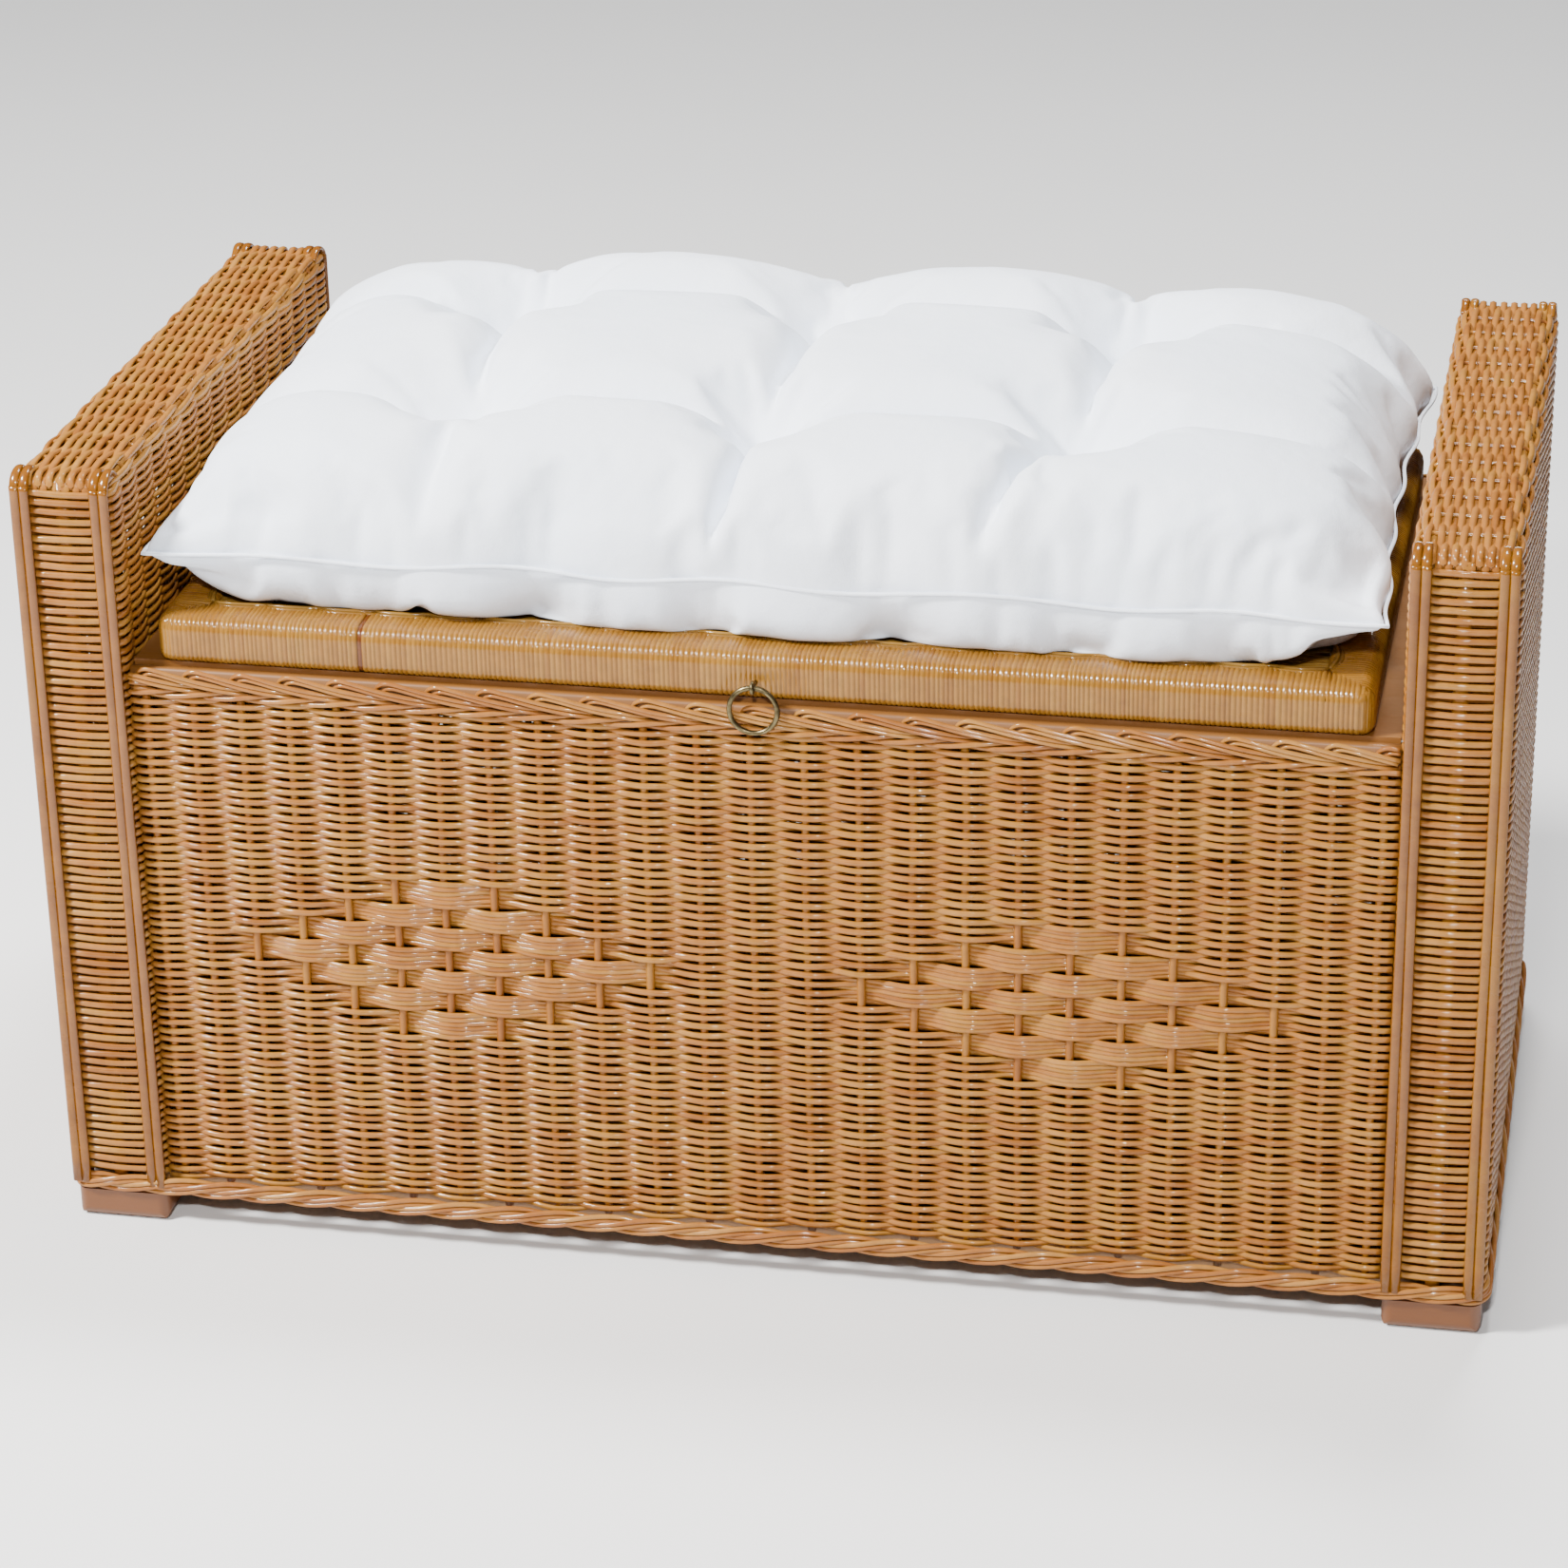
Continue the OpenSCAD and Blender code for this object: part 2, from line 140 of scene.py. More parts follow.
class Strands:
    """Collects tubes and sheets, and makes them into one mesh with a tone for each strand."""

    def __init__(self):
        self.points, self.quads, self.tones = [], [], []
        self.count = 0

    def add(self, points, quads, tones):
        self.points.append(points)
        self.quads.append(quads + self.count)
        self.tones.append(tones)
        self.count += len(points)

    def tubes(self, paths, across, up=(0, 0, 1), lift=None, sides=6, tones=None, closed=False):
        """Tubes along paths (strands, points, 3). across and lift are the radii along the side and up."""
        paths = np.asarray(paths, float)
        if paths.ndim == 2:
            paths = paths[None]
        strands, length = paths.shape[:2]
        if closed:
            along = unit(np.roll(paths, -1, axis=1) - np.roll(paths, 1, axis=1))
        else:
            along = unit(np.gradient(paths, axis=1))
        side = unit(np.cross(along, np.broadcast_to(np.asarray(up, float), paths.shape)))
        rise = np.cross(side, along)
        lift = across if lift is None else lift
        across, lift = (np.broadcast_to(np.asarray(radius, float), (strands, length))[..., None, None]
                        for radius in (across, lift))
        angle = (np.arange(sides) + 0.5) * 2 * math.pi / sides
        ring = (paths[:, :, None]
                + across * np.cos(angle)[:, None] * side[:, :, None]
                + lift * np.sin(angle)[:, None] * rise[:, :, None])
        index = np.arange(strands * length * sides).reshape(strands, length, sides)
        here, there = (index, np.roll(index, -1, axis=1)) if closed else (index[:, :-1], index[:, 1:])
        wall = np.stack([here, there, np.roll(there, -1, axis=2), np.roll(here, -1, axis=2)], -1)
        quads = [wall.reshape(-1, 4)]
        if not closed:
            quads += end_faces(index)
        if tones is None:
            tones = chance.random(strands)
        tones = np.repeat(np.broadcast_to(tones, (strands,)), length * sides)
        self.add(ring.reshape(-1, 3), np.concatenate(quads), tones)

    def sheet(self, grid, tones, capped=False):
        """A skin through grid (a, b, 3), closed round b, and closed at its two ends too if capped."""
        index = np.arange(grid.shape[0] * grid.shape[1]).reshape(grid.shape[:2])
        here, there = index[:-1], index[1:]
        wall = np.stack([here, there, np.roll(there, -1, axis=1), np.roll(here, -1, axis=1)], -1)
        quads = [wall.reshape(-1, 4)]
        if capped:
            quads += end_faces(index[None])
        self.add(grid.reshape(-1, 3), np.concatenate(quads), tones.reshape(-1))

    def piece(self, name, material, body, slot, replaces=()):
        points = np.concatenate(self.points) * MM
        quads = np.concatenate(self.quads).astype(np.int32)
        tones = np.concatenate(self.tones).astype(np.float32)
        mesh = bpy.data.meshes.new(name)
        mesh.vertices.add(len(points))
        mesh.vertices.foreach_set("co", points.astype(np.float32).ravel())
        mesh.loops.add(quads.size)
        mesh.loops.foreach_set("vertex_index", quads.ravel())
        mesh.polygons.add(len(quads))
        mesh.polygons.foreach_set("loop_start", np.arange(0, quads.size, 4, dtype=np.int32))
        mesh.update(calc_edges=True)
        mesh.shade_smooth()
        mesh.attributes.new("tone", "FLOAT", "POINT").data.foreach_set("value", tones)
        place_piece(name, mesh, material, body, replaces)


def place_piece(name, mesh, material, body, replaces=()):
    """Links the mesh as a piece that rides on a CAD body, has a material slot and stands for CAD nodes."""
    piece = bpy.data.objects.new(name, mesh)
    bpy.context.scene.collection.objects.link(piece)
    mesh.materials.append(material)
    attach(piece, body)
    if replaces:
        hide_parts(*replaces)
    return piece


def mirrored(paths, x=1, y=1):
    return paths * np.array([x, y, 1.0])


# ---- materials ----

class Shader:
    """A Principled material and short ways to add the nodes that feed it."""

    def __init__(self, name, **constants):
        self.material = bpy.data.materials.new(name)
        self.material.use_nodes = True
        self.tree = self.material.node_tree
        self.surface = self.tree.nodes["Principled BSDF"]
        for socket, value in constants.items():
            self.surface.inputs[socket.replace("_", " ")].default_value = value
        self.place = self.tree.nodes.new("ShaderNodeTexCoord").outputs["Object"]

    def link(self, output, socket):
        self.tree.links.new(output, self.surface.inputs[socket])

    def stretched(self, scale):
        mapping = self.tree.nodes.new("ShaderNodeMapping")
        mapping.inputs["Scale"].default_value = scale
        self.tree.links.new(self.place, mapping.inputs["Vector"])
        return mapping.outputs["Vector"]

    def noise(self, scale, detail=3.0, roughness=0.55, vector=None):
        noise = self.tree.nodes.new("ShaderNodeTexNoise")
        noise.inputs["Scale"].default_value = scale
        noise.inputs["Detail"].default_value = detail
        noise.inputs["Roughness"].default_value = roughness
        self.tree.links.new(vector or self.place, noise.inputs["Vector"])
        return noise.outputs["Fac"]

    def tone(self):
        attribute = self.tree.nodes.new("ShaderNodeAttribute")
        attribute.attribute_name = "tone"
        return attribute.outputs["Fac"]

    def calc(self, operation, a, b, c=0.0):
        node = self.tree.nodes.new("ShaderNodeMath")
        node.operation = operation
        for socket, value in zip(node.inputs, (a, b, c)):
            if isinstance(value, float):
                socket.default_value = value
            else:
                self.tree.links.new(value, socket)
        return node.outputs["Value"]

    def spread(self, value, low, high):
        """Brings a noise value from 0.3..0.7 to low..high."""
        node = self.tree.nodes.new("ShaderNodeMapRange")
        for socket, number in zip(("From Min", "From Max", "To Min", "To Max"), (0.3, 0.7, low, high)):
            node.inputs[socket].default_value = number
        self.tree.links.new(value, node.inputs["Value"])
        return node.outputs["Result"]

    def ramp(self, value, colours):
        node = self.tree.nodes.new("ShaderNodeValToRGB")
        stops = node.color_ramp.elements
        while len(stops) < len(colours):
            stops.new(0.5)
        for n, colour in enumerate(colours):
            stops[n].position = n / (len(colours) - 1)
            stops[n].color = (*colour, 1)
        self.tree.links.new(value, node.inputs["Fac"])
        return node.outputs["Color"]

    def shade(self, colour, value):
        """Multiplies a colour by a value."""
        node = self.tree.nodes.new("ShaderNodeMix")
        node.data_type = "RGBA"
        node.blend_type = "MULTIPLY"
        node.inputs[0].default_value = 1.0
        self.tree.links.new(colour, node.inputs[6])
        self.tree.links.new(value, node.inputs[7])
        return node.outputs[2]

    def bump(self, height, distance, strength=0.6):
        node = self.tree.nodes.new("ShaderNodeBump")
        node.inputs["Distance"].default_value = distance
        node.inputs["Strength"].default_value = strength
        self.tree.links.new(height, node.inputs["Height"])
        self.link(node.outputs["Normal"], "Normal")


def cane(name, colours, roughness=0.45, coat=0.15, blotch=0.7):
    """Varnished cane: a tone for each strand, blotches a few centimetres long and fine fibres."""
    s = Shader(name, Coat_Weight=coat, Coat_Roughness=0.08, Coat_IOR=2.2, Specular_IOR_Level=0.1)
    shift = s.spread(s.noise(38.0, 3.0), -blotch / 2, blotch / 2)
    base = s.ramp(s.calc("ADD", s.tone(), shift), colours)
    mottle = s.spread(s.noise(150.0, 4.0), 0.88, 1.08)
    fibre = s.noise(1500.0, 3.0)
    s.link(s.shade(base, s.calc("MULTIPLY", mottle, s.spread(fibre, 0.93, 1.05))), "Base Color")
    s.link(s.spread(s.noise(90.0), roughness - 0.07, roughness + 0.1), "Roughness")
    s.bump(fibre, 0.00012, 0.5)
    return s.material


def timber(name, colours, grain=(4.0, 90.0, 90.0), roughness=0.45, coat=0.1):
    """Plain wood with its grain along X."""
    s = Shader(name, Coat_Weight=coat, Coat_Roughness=0.25)
    lines = s.noise(1.6, 5.0, 0.62, s.stretched(grain))
    broad = s.noise(9.0, 2.0)
    mixed = s.calc("MULTIPLY_ADD", lines, 0.75, s.calc("MULTIPLY", broad, 0.3))
    s.link(s.ramp(mixed, colours), "Base Color")
    s.link(s.spread(lines, roughness - 0.08, roughness + 0.12), "Roughness")
    s.bump(lines, 0.0003, 0.5)
    return s.material


def metal(name, bright, dull, roughness):
    s = Shader(name, Metallic=1.0)
    wear = s.noise(180.0, 4.0)
    s.link(s.ramp(s.spread(wear, 0.0, 1.0), (dull, bright)), "Base Color")
    s.link(s.spread(wear, roughness + 0.12, roughness - 0.05), "Roughness")
    s.bump(s.noise(700.0), 0.00008, 0.4)
    return s.material


def cotton_cloth():
    s = Shader("white_cotton", Roughness=0.86, Sheen_Weight=0.08, Sheen_Roughness=0.4)
    warp = s.noise(1.0, 1.0, 0.4, s.stretched((2600.0, 420.0, 900.0)))
    weft = s.noise(1.0, 1.0, 0.4, s.stretched((420.0, 2600.0, 900.0)))
    thread = s.calc("ADD", warp, weft)
    rumple = s.noise(34.0, 3.0, 0.5)
    cast = s.noise(7.0, 2.0)
    s.link(s.ramp(s.spread(cast, 0.0, 1.0), ((0.80, 0.86, 0.95), (0.86, 0.90, 0.97))), "Base Color")
    s.bump(s.calc("MULTIPLY_ADD", rumple, 14.0, thread), 0.00025, 0.5)
    return s.material


weave_cane = cane("woven_rattan", ((0.217, 0.0732, 0.0102), (0.269, 0.1, 0.0155), (0.3, 0.117, 0.022),
                                   (0.291, 0.125, 0.0176), (0.332, 0.147, 0.0274)))
stake_cane = cane("rattan_core", ((0.21, 0.0692, 0.00981), (0.246, 0.0905, 0.0117),
                                  (0.273, 0.113, 0.0146)),
                  roughness=0.5, coat=0.1)
braid_cane = cane("plaited_rattan", ((0.244, 0.0843, 0.015), (0.287, 0.11, 0.0211),
                                     (0.304, 0.125, 0.022), (0.339, 0.156, 0.0335)))
band_cane = cane("split_cane", ((0.153, 0.0494, 0.00289), (0.184, 0.0647, 0.00409),
                                (0.196, 0.0771, 0.00477)),
                 roughness=0.28, coat=0.22, blotch=1.1)
wrap_cane = cane("wrapped_cane", ((0.107, 0.0308, 0.00486), (0.2, 0.0814, 0.00954),
                                  (0.221, 0.096, 0.0112), (0.235, 0.104, 0.0134),
                                  (0.245, 0.115, 0.0157)),
                 roughness=0.3, coat=0.16, blotch=0.3)
reed_cane = cane("lid_rattan", ((0.15, 0.0677, 0.00857), (0.199, 0.101, 0.014), (0.235, 0.126, 0.0203)),
                 coat=0.12)
pole_cane = timber("rattan_pole", ((0.172, 0.0709, 0.014), (0.233, 0.102, 0.0214),
                                   (0.267, 0.128, 0.0299)),
                   grain=(40.0, 40.0, 40.0))
pale_wood = timber("pale_timber", ((0.156, 0.0559, 0.00832), (0.183, 0.07, 0.0114),
                                   (0.199, 0.0827, 0.0152)))
foot_wood = timber("foot_timber", ((0.0936, 0.0245, 0.00297), (0.124, 0.0378, 0.00495),
                                   (0.143, 0.048, 0.00697)),
                   grain=(5.0, 60.0, 130.0), roughness=0.4)
brass = metal("old_brass", (0.20, 0.16, 0.08), (0.045, 0.033, 0.016), 0.3)
steel = metal("steel", (0.62, 0.62, 0.62), (0.38, 0.38, 0.38), 0.34)
cotton = cotton_cloth()


# ---- weaving ----

def weave(stations, heights, over, per_gap, depth, overhang):
    """Strands that pass the stations on the side that over (rows, stations) gives, +1 outside, -1 inside.

    Returns the place along the weave, the rows' heights there and how far out of the middle they are.
    """
    gaps = len(stations) - 1
    first, last = stations[1] - stations[0], stations[-1] - stations[-2]
    stations = np.concatenate([[stations[0] - first], stations, [stations[-1] + last]])
    over = np.concatenate([-over[:, :1], over, -over[:, -1:]], axis=1)
    t = np.linspace(1 - overhang, gaps + 1 + overhang, round((gaps + 2 * overhang) * per_gap) + 1)
    i = np.minimum(t.astype(int), gaps + 1)
    f = t - i
    turn = (1 - np.cos(math.pi * f)) / 2
    along = stations[i] * (1 - f) + stations[i + 1] * f
    out = depth * (over[:, i] * (1 - turn) + over[:, i + 1] * turn)
    return along, np.repeat(heights[:, None], len(t), 1), out


def plain(rows, stations):
    """Over one, under one: 1 where a row passes in front of a stake and -1 where it passes behind."""
    return np.where((np.arange(rows)[:, None] + np.arange(stations)) % 2 == 0, 1.0, -1.0)


def with_diamonds(over, centre_row, centres, block=5, half=4):
    """Turns the weave round each centre stake into a diamond of blocks of strands."""
    first = centre_row - block * (2 * half - 1) // 2
    for step in range(2 * half - 1):
        reach = half - abs(step - half + 1)
        rows = slice(first + block * step, first + block * (step + 1))
        for centre in centres:
            for offset in range(-reach, reach + 1):
                over[rows, centre + offset] = 1.0 if (offset + reach) % 2 else -1.0
    return over


def stake_places():
    """The upright stakes of a long panel, a little closer together towards its ends."""
    end = stakes_high[0] - (stakes_high[1] - stakes_low[1]) / 2
    u = np.linspace(-1, 1, PANEL_GAPS + 1)
    spread = 0.045
    return end * (u + spread * np.sin(math.pi * u) / math.pi)


def weave_pieces(name, paths, high, replaces, closed=False):
    """Makes woven rows into a lower and an upper piece, each row a little different in size and tone."""
    rows = len(paths)
    width = chance.uniform(0.93, 1.04, (rows, 1))
    tones = chance.beta(2.2, 2.2, rows)
    half = rows // 2
    for part, pick in (("lower", slice(0, half)), ("upper", slice(half, rows))):
        strands = Strands()
        strands.tubes(paths[pick], STRAND_DEPTH * width[pick], lift=high * width[pick],
                      tones=tones[pick], closed=closed)
        strands.piece(f"{name}_{part}", weave_cane, "trunk", "woven_rattan", replaces)


def long_panel(name, cad_node, stakes_node, facing, per_gap, depth, high, diamonds):
    """One long side: woven rows and stakes. facing is -1 for the front, +1 for the back."""
    middle_y = (panel_low[1] + panel_high[1]) / 2
    stakes_x = stake_places()
    wale = 7.0
    bottom, top = panel_low[2] - 1.5, panel_high[2] - wale
    rows = round((top - bottom) / ROW)
    heights = np.linspace(bottom, top, rows)
    over = plain(rows, PANEL_GAPS + 1)
    if diamonds:
        centre_row = int(np.argmin(abs(heights - DIAMOND_Z)))
        over = with_diamonds(over, centre_row, (PANEL_GAPS // 4, PANEL_GAPS * 3 // 4))
    edge_share = (panel_high[0] + 1.5 - stakes_x[-1]) / (stakes_x[-1] - stakes_x[-2])
    along, level, out = weave(stakes_x, heights, over, per_gap, depth, edge_share)
    drift = ripple([(0.5, 260, 46), (0.3, 90, 21), (0.18, 44, 11), (0.08, 17, 7)])
    sway = ripple([(0.45, 300, 120), (0.3, 1e5, 33)])
    level = level + drift(along, level)
    x = along + sway(along, level)
    y = middle_y - out * (1 + 0.1 * ripple([(1, 70, 9)])(along, level))
    paths = np.stack([x, y, level], -1)
    weave_pieces(f"{name}_weave", mirrored(paths, -facing, -facing), high, [cad_node])
    z = np.linspace(panel_low[2] - 4, panel_high[2] + 3, 14)
    stake_paths = np.stack([stakes_x[:, None] + sway(stakes_x[:, None], z),
                            np.full((len(stakes_x), len(z)), middle_y),
                            np.broadcast_to(z, (len(stakes_x), len(z)))], -1)
    stakes = Strands()
    stakes.tubes(mirrored(stake_paths, -facing, -facing), STAKE_R, up=(0, 1, 0), sides=8)
    stakes.piece(f"{name}_stakes_rattan", stake_cane, "trunk", "rattan_core", [stakes_node])


# ---- rim and bottom borders ----

def smooth_path(points, count):
    """A smooth curve through a few points (Catmull-Rom), with count steps in all."""
    points = np.asarray(points, float)
    points = np.concatenate([2 * points[:1] - points[1:2], points, 2 * points[-1:] - points[-2:-1]])
    t = np.linspace(0, len(points) - 3 - 1e-6, count)
    i = t.astype(int)
    f = (t - i)[:, None]
    a, b, c, d = (points[i + n] for n in range(4))
    return 0.5 * (2 * b + (c - a) * f + (2 * a - 5 * b + 4 * c - d) * f ** 2
                  + (3 * b - a - 3 * c + d) * f ** 3)


def rim_braid(name, cad_node, facing):
    """The rim: each stake's pair of strands arches over to the right above a row of slanting wale."""
    stakes_x = stake_places()
    end = panel_high[0] + 1
    front, crest = rim_low[1], rim_high[2]
    strands = Strands()
    pitch = np.gradient(stakes_x)
    starts = np.concatenate([[stakes_x[0] - 2 * pitch[0], stakes_x[0] - pitch[0]], stakes_x])
    widths = np.concatenate([[pitch[0], pitch[0]], pitch])
    arch = np.array([(-0.13, 5.4, -14.0), (-0.12, 4.2, -8.0), (-0.02, 3.0, -3.6), (0.14, 2.2, -1.9),
                     (0.42, 1.2, -2.9), (0.8, 0.6, -5.4), (1.25, 0.5, -8.2), (1.7, 1.4, -10.6),
                     (2.05, 3.6, -12.4), (2.25, 6.0, -13.2)])
    for start, width in zip(starts, widths):
        tone = chance.random()
        for strand in (-1, 1):
            path = arch * (width, 1, 1) + (start, front, crest)
            path[:, 2] += 1.5 * strand + chance.uniform(-0.3, 0.3)
            path[:, 0] -= 1.5 * strand
            path = smooth_path(path, 30)
            path = path[abs(path[:, 0]) < end]
            if len(path) > 4:
                strands.tubes(mirrored(path, -facing, -facing), 1.42, up=(0, 0, 1),
                              tones=np.clip(tone + chance.uniform(-0.2, 0.2), 0, 1))
    x = np.linspace(-end, end, PANEL_GAPS * 12)
    turn = 2 * math.pi * np.interp(x, stakes_x, np.arange(len(stakes_x))) / 3
    for n in range(3):
        phase = turn + 2 * math.pi * n / 3
        wale = np.stack([x, panel_low[1] + 2.6 - 3.2 * np.cos(phase),
                         panel_high[2] - 3.6 + 2.0 * np.sin(phase)], -1)
        strands.tubes(mirrored(wale, -facing, -facing), 1.75)
    strands.piece(f"{name}_rim_braid", braid_cane, "trunk", "plaited_rattan", [cad_node])
    core = Strands()
    core_bar(core, (-end, front + 5.6, rim_low[2] - 8), (end, rim_high[1] - 0.1, crest - 1.0), 1.5, facing)
    core.piece(f"{name}_rim_core", pale_wood, "trunk", "pale_timber")


def core_bar(strands, low, high, bevel, facing):
    """A bar along X with its edges eased."""
    low, high = np.array(low, float), np.array(high, float)
    corner = [(low[1] + bevel, low[2]), (high[1] - bevel, low[2]), (high[1], low[2] + bevel),
              (high[1], high[2] - bevel), (high[1] - bevel, high[2]), (low[1] + bevel, high[2]),
              (low[1], high[2] - bevel), (low[1], low[2] + bevel)]
    x = np.linspace(low[0], high[0], 60)
    grid = np.array([[(a, y, z) for y, z in corner] for a in x])
    if facing > 0:
        grid = mirrored(grid, -1, -1)
    strands.sheet(grid, np.full(grid.shape[:2], 0.5), capped=True)


def round_rect(half_x, half_y, radius, count):
    """Points and outward directions round a rectangle with rounded corners, evenly spaced."""
    corners = [(half_x - radius, -half_y + radius, -90), (half_x - radius, half_y - radius, 0),
               (-half_x + radius, half_y - radius, 90), (-half_x + radius, -half_y + radius, 180)]
    points, normals = [], []
    for x, y, start in corners:
        for angle in np.radians(np.linspace(start, start + 90, 13)):
            normal = np.array([math.cos(angle), math.sin(angle)])
            points.append(np.array([x, y]) + radius * normal)
            normals.append(normal)
    points.append(points[0])
    normals.append(normals[0])
    points, normals = np.array(points), np.array(normals)
    length = np.concatenate([[0], np.cumsum(np.linalg.norm(np.diff(points, axis=0), axis=1))])
    at = np.linspace(0, length[-1], count, endpoint=False)
    pick = [np.interp(at, length, column) for column in (*points.T, *normals.T)]
    return np.stack(pick[:2], -1), unit(np.stack(pick[2:], -1)), at, length[-1]


def bottom_rope():
    """The bottom border: three thick pairs of strands twisted into a rope round the whole chest."""
    strand_r, swing, drop = 1.75, 1.9, 3.3
    reach = -border_low[1] - strand_r - swing
    middle_z = (border_low[2] + border_high[2]) / 2
    points, normals, at, length = round_rect(-border_low[0] - strand_r - swing, reach, 14, 1100)
    turns = round(length / 31.0 / 3)
    strands = Strands()
    for n in range(3):
        phase = 2 * math.pi * (turns * at / length + n / 3)
        for pair in (-1, 1):
            out = swing * np.cos(phase)
            rise = drop * np.sin(phase) + 1.55 * pair
            path = np.concatenate([points + normals * out[:, None],
                                   (middle_z + rise)[:, None]], -1)
            strands.tubes(path, strand_r, closed=True)
    core = np.concatenate([points - 2.4 * normals, np.full((len(points), 1), middle_z)], -1)
    strands.tubes(core, 2.6, closed=True, tones=0.3)
    strands.piece("bottom_border_rope", braid_cane, "trunk", "plaited_rattan",
                  ["bottom_border_front", "bottom_border_back", "bottom_border_left", "bottom_border_right"])


# ---- arm towers ----

# How far the middle of the weave is inside the tower's outer size, and the radius of its bend over the top.
ARM_WALL = 3.5
ARM_BEND = 9.0
arm_out_x = cover_high[0] - ARM_WALL
arm_in_x = cover_low[0] + ARM_WALL
arm_mid_x = (arm_out_x + arm_in_x) / 2
arm_face_y = -arm_face_low[1] - ARM_WALL
arm_top_z = cover_high[2] - ARM_WALL
arm_stake_y = np.linspace(cover_low[1], cover_high[1], ARM_GAPS + 1)[1:-1]

# Lengths along that surface: up one side, round one bend, and across the flat top.
arm_rise = arm_top_z - ARM_BEND - cover_low[2]
arm_arc = math.pi / 2 * ARM_BEND
arm_flat = arm_out_x - arm_in_x - 2 * ARM_BEND


def arm_sides(side, label):
    """Rows woven round and round one tower, from the bottom border to just under its top."""
    half_x = (arm_out_x - arm_in_x) / 2
    corner = 7.0
    last_stake_y = arm_face_y - 9
    low, high = cover_low[2] + 1, arm_top_z - 9.5
    stops = [(x, y) for x in (-half_x, half_x) for y in (*arm_stake_y, -last_stake_y, last_stake_y)]
    stops += [(0, -arm_face_y), (0, arm_face_y)]
    points, normals, at, length = round_rect(half_x, arm_face_y, corner, 4000)
    stations = np.array([at[np.argmin(np.hypot(*(points - stop).T))] for stop in stops])
    order = np.argsort(stations)
    stations = stations[order]
    rows = round((high - low) / ROW)
    heights = np.linspace(low, high, rows)
    over = plain(rows, len(stations))
    middle = [int(np.argmin(abs(stations - at[np.argmin(np.hypot(*(points - (0, y)).T))])))
              for y in (-arm_face_y, arm_face_y)]
    per_gap = [8 if n in middle or (n + 1) % len(stations) in middle else 5 for n in range(len(stations))]
    t = np.concatenate([n + np.arange(steps) / steps for n, steps in enumerate(per_gap)])
    i = t.astype(int)
    f = t - i
    nxt = (i + 1) % len(stations)
    gap = (stations[nxt] - stations[i]) % length
    along = (stations[i] + gap * f) % length
    late = np.clip((f - 0.4) / 0.6, 0, 1)
    early = np.clip(f / 0.6, 0, 1)
    f = np.where(np.isin(i, middle), late, np.where(np.isin(nxt, middle), early, f))
    turn = (1 - np.cos(math.pi * f)) / 2
    gaps_to_middle = [abs((along - stations[m] + length / 2) % length - length / 2) for m in middle]
    to_middle = np.min(gaps_to_middle, axis=0)
    bulge = 1.3 * np.exp(-(to_middle / 14) ** 2)
    out = 2.0 * (over[:, i] * (1 - turn) + over[:, nxt] * turn) + bulge - 0.3
    place = np.stack([np.interp(along, at, points[:, k], period=length) for k in (0, 1)], -1)
    normal = unit(np.stack([np.interp(along, at, normals[:, k], period=length) for k in (0, 1)], -1))
    drift = ripple([(0.45, 210, 50), (0.25, 70, 23), (0.15, 37, 12)])
    level = heights[:, None] + drift(along, heights[:, None])
    plan = place[None] + normal[None] * out[..., None]
    paths = np.concatenate([plan, level[..., None]], -1) + (arm_mid_x, 0, 0)
    paths = mirrored(paths, side)
    if side < 0:
        paths = paths[:, ::-1]
    weave_pieces(f"{label}_arm_weave", paths, STRAND_HIGH,
                 [f"{label}_arm_cover", f"{label}_arm_front_face", f"{label}_arm_rear_face"], closed=True)


def over_the_arm(distance):
    """Places on the tower's middle surface and outward directions, by distance up the outside and over."""
    first = np.clip((distance - arm_rise) / arm_arc, 0, 1) * math.pi / 2
    second = np.clip((distance - arm_rise - arm_arc - arm_flat) / arm_arc, 0, 1) * math.pi / 2
    across = np.clip(distance - arm_rise - arm_arc, 0, arm_flat)
    fall = np.clip(distance - arm_rise - 2 * arm_arc - arm_flat, 0, None)
    x = arm_out_x - ARM_BEND * (1 - np.cos(first)) - across - ARM_BEND * np.sin(second)
    z = (cover_low[2] + np.clip(distance, 0, arm_rise) + ARM_BEND * np.sin(first)
         - ARM_BEND * (1 - np.cos(second)) - fall)
    return x, z, np.cos(first + second), np.sin(first + second)


